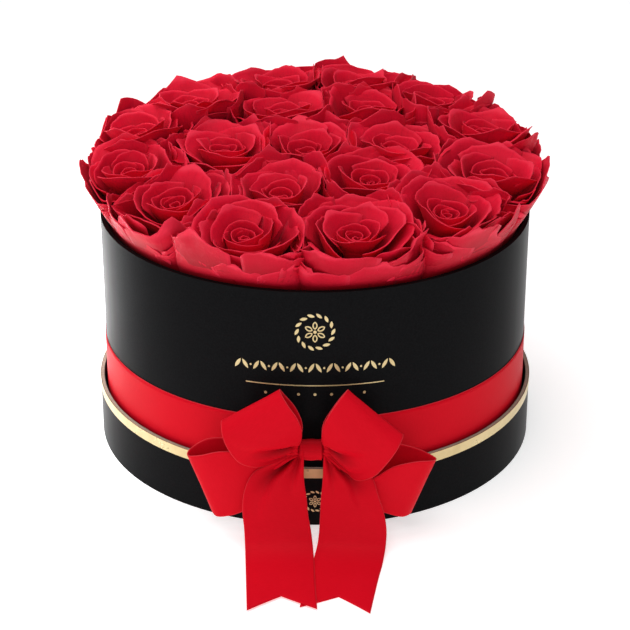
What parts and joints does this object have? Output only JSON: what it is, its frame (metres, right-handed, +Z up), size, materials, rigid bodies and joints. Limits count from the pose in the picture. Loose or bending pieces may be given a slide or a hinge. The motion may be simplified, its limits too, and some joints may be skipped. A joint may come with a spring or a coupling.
{
  "type": "flower box",
  "caption": "Round black box of preserved red roses standing in its upturned gold-edged lid, tied with a red satin ribbon and bow.",
  "frame": {"origin": "centre of the upturned lid's underside, on the surface that the box stands on", "axes": "+Z up, the bow and the foil prints face -Y, +X to the right of someone who looks at the bow"},
  "size_m": [0.2997, 0.3919, 0.2053],
  "materials": {
    "black_paper": "satin laminated paper",
    "lining_paper": "matt paper",
    "grey_board": "plain grey board",
    "gold_foil": "satin gold foil",
    "floral_foam": "fine open foam",
    "stem": "matt green stem",
    "rose_petal": "velvety preserved petal",
    "red_satin": "satin ribbon",
    "glue": "clear hot glue"
  },
  "bodies": {
    "lid_tray": {"lid_base_sheet": "black_paper", "lid_panel": "grey_board", "lid_wall": "grey_board", "lid_wrap": "black_paper", "lid_lining": "lining_paper", "lid_edge_foil": "gold_foil", "lid_wreath": "gold_foil"},
    "flower_box": {"box_base_sheet": "black_paper", "box_base_board": "grey_board", "box_wall": "grey_board", "box_wrap": "black_paper", "box_lining": "lining_paper", "foam_block": "floral_foam", "rose_stems": "stem", "rose_calyxes": "stem", "rose_01": "rose_petal", "rose_02": "rose_petal", "rose_03": "rose_petal", "rose_04": "rose_petal", "rose_05": "rose_petal", "rose_06": "rose_petal", "rose_07": "rose_petal", "rose_08": "rose_petal", "rose_09": "rose_petal", "rose_10": "rose_petal", "rose_11": "rose_petal", "rose_12": "rose_petal", "rose_13": "rose_petal", "rose_14": "rose_petal", "rose_15": "rose_petal", "rose_16": "rose_petal", "rose_17": "rose_petal", "rose_18": "rose_petal", "rose_19": "rose_petal", "ribbon_band": "red_satin", "bow_glue_pad": "glue", "bow_gather": "red_satin", "bow_wrap": "red_satin", "loop_upper_left": "red_satin", "loop_upper_right": "red_satin", "loop_lower_left": "red_satin", "loop_lower_right": "red_satin", "tail_left": "red_satin", "tail_right": "red_satin", "front_wreath": "gold_foil", "front_garland": "gold_foil", "front_rule": "gold_foil", "front_dots": "gold_foil"}
  },
  "joints": [
    {"name": "box_lift", "type": "slide", "parent": "lid_tray", "child": "flower_box", "axis": [0, 0, 1], "range_m": [0, 0.08]}
  ]
}
